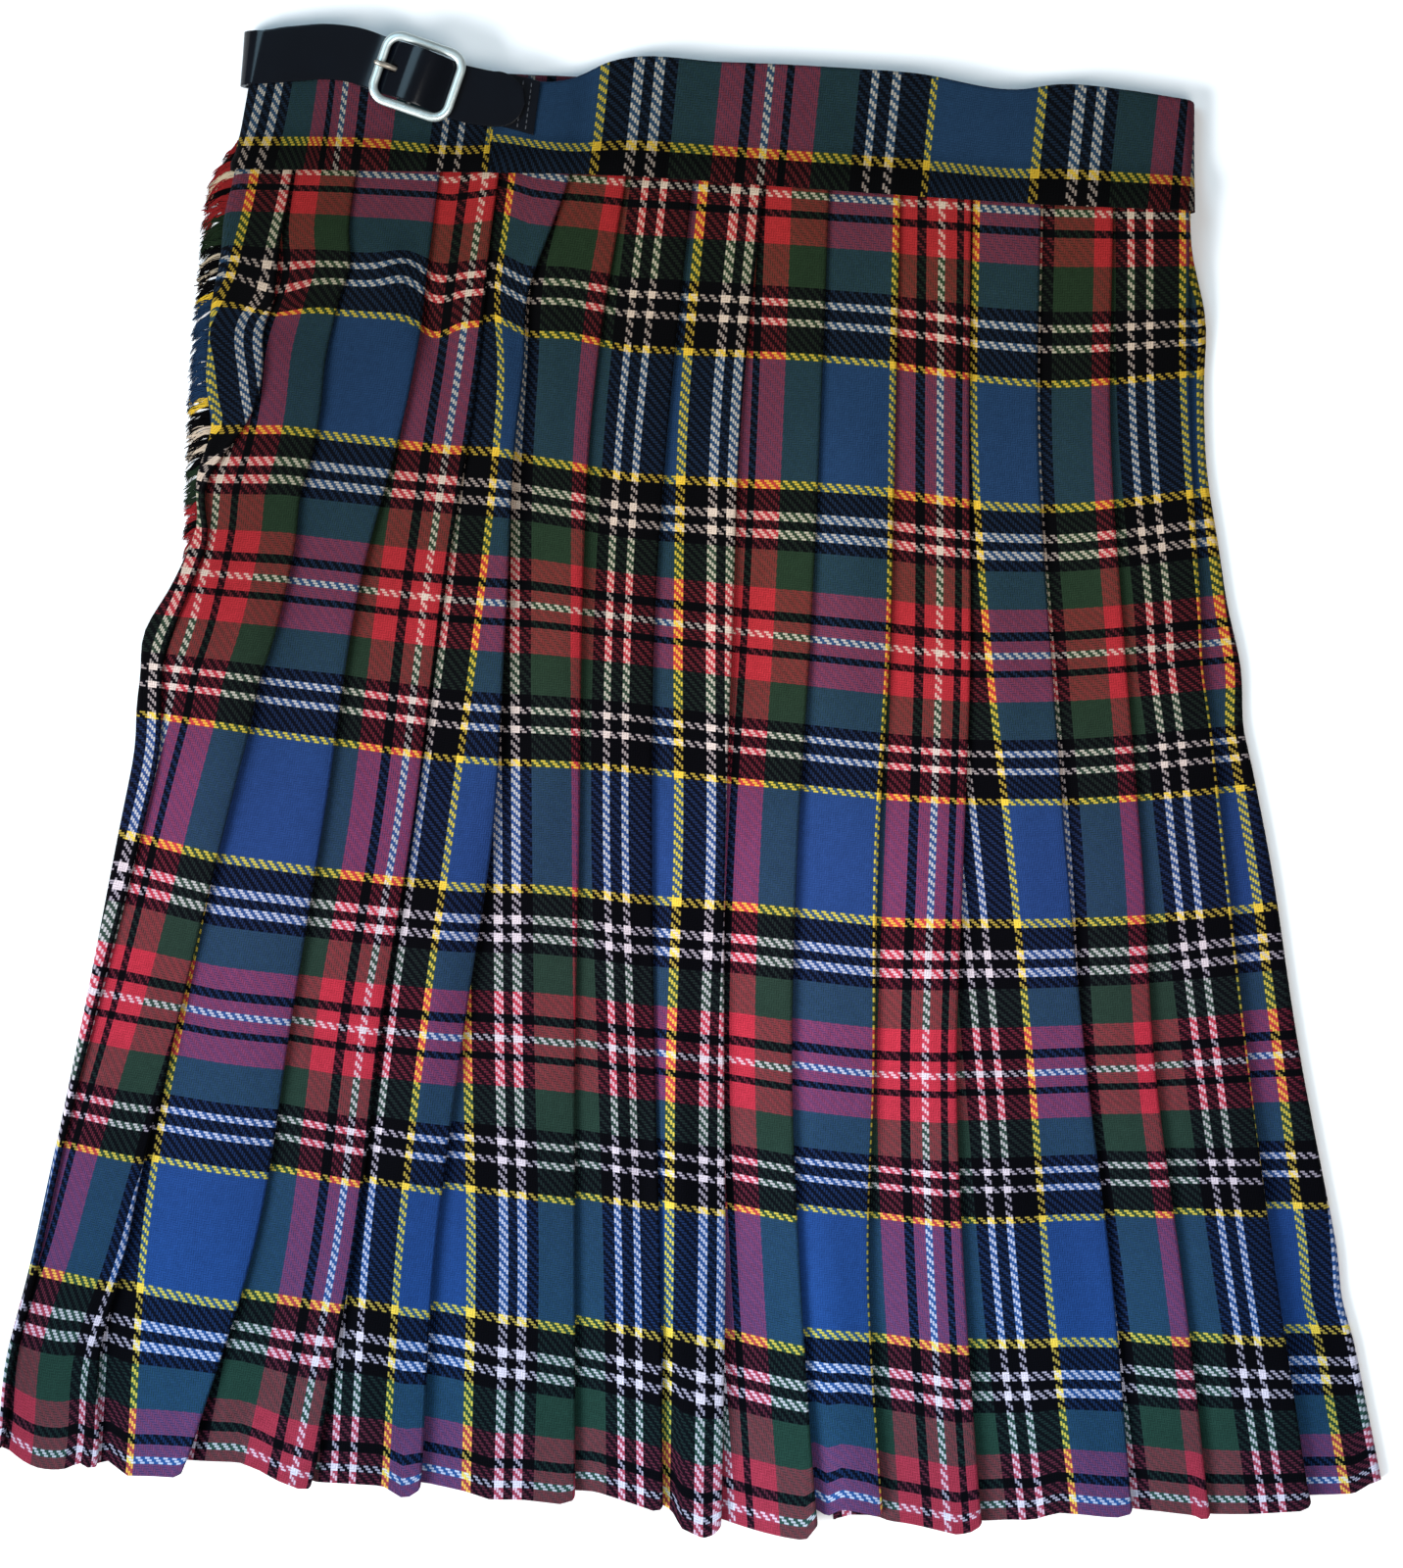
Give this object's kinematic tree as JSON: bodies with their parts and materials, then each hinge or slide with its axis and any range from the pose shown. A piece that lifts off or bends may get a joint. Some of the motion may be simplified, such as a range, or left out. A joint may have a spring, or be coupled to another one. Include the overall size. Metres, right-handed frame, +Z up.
{
  "type": "pleated kilt",
  "caption": "Knife-pleated wool kilt laid flat on its front, with a waistband, a fringed apron edge and a leather strap fastened in a side buckle.",
  "frame": {"origin": "middle of the kilt's box, at the table it lies on", "axes": "+X across the kilt to the side without the strap, +Y from the hem to the waistband, +Z up through the layers"},
  "size_m": [0.488, 0.5337, 0.019],
  "materials": {
    "tartan": "soft twill wool, blue ground with green, red, black, white and yellow checks",
    "strap_leather": "smooth black leather",
    "buckle_metal": "polished silver-coloured metal"
  },
  "bodies": {
    "root": {"over_apron": "tartan", "under_apron": "tartan", "pleated_back": "tartan", "waistband": "tartan", "fringe": "tartan", "strap": "strap_leather", "chape": "strap_leather", "buckle_frame": "buckle_metal", "buckle_prong": "buckle_metal"}
  },
  "joints": []
}
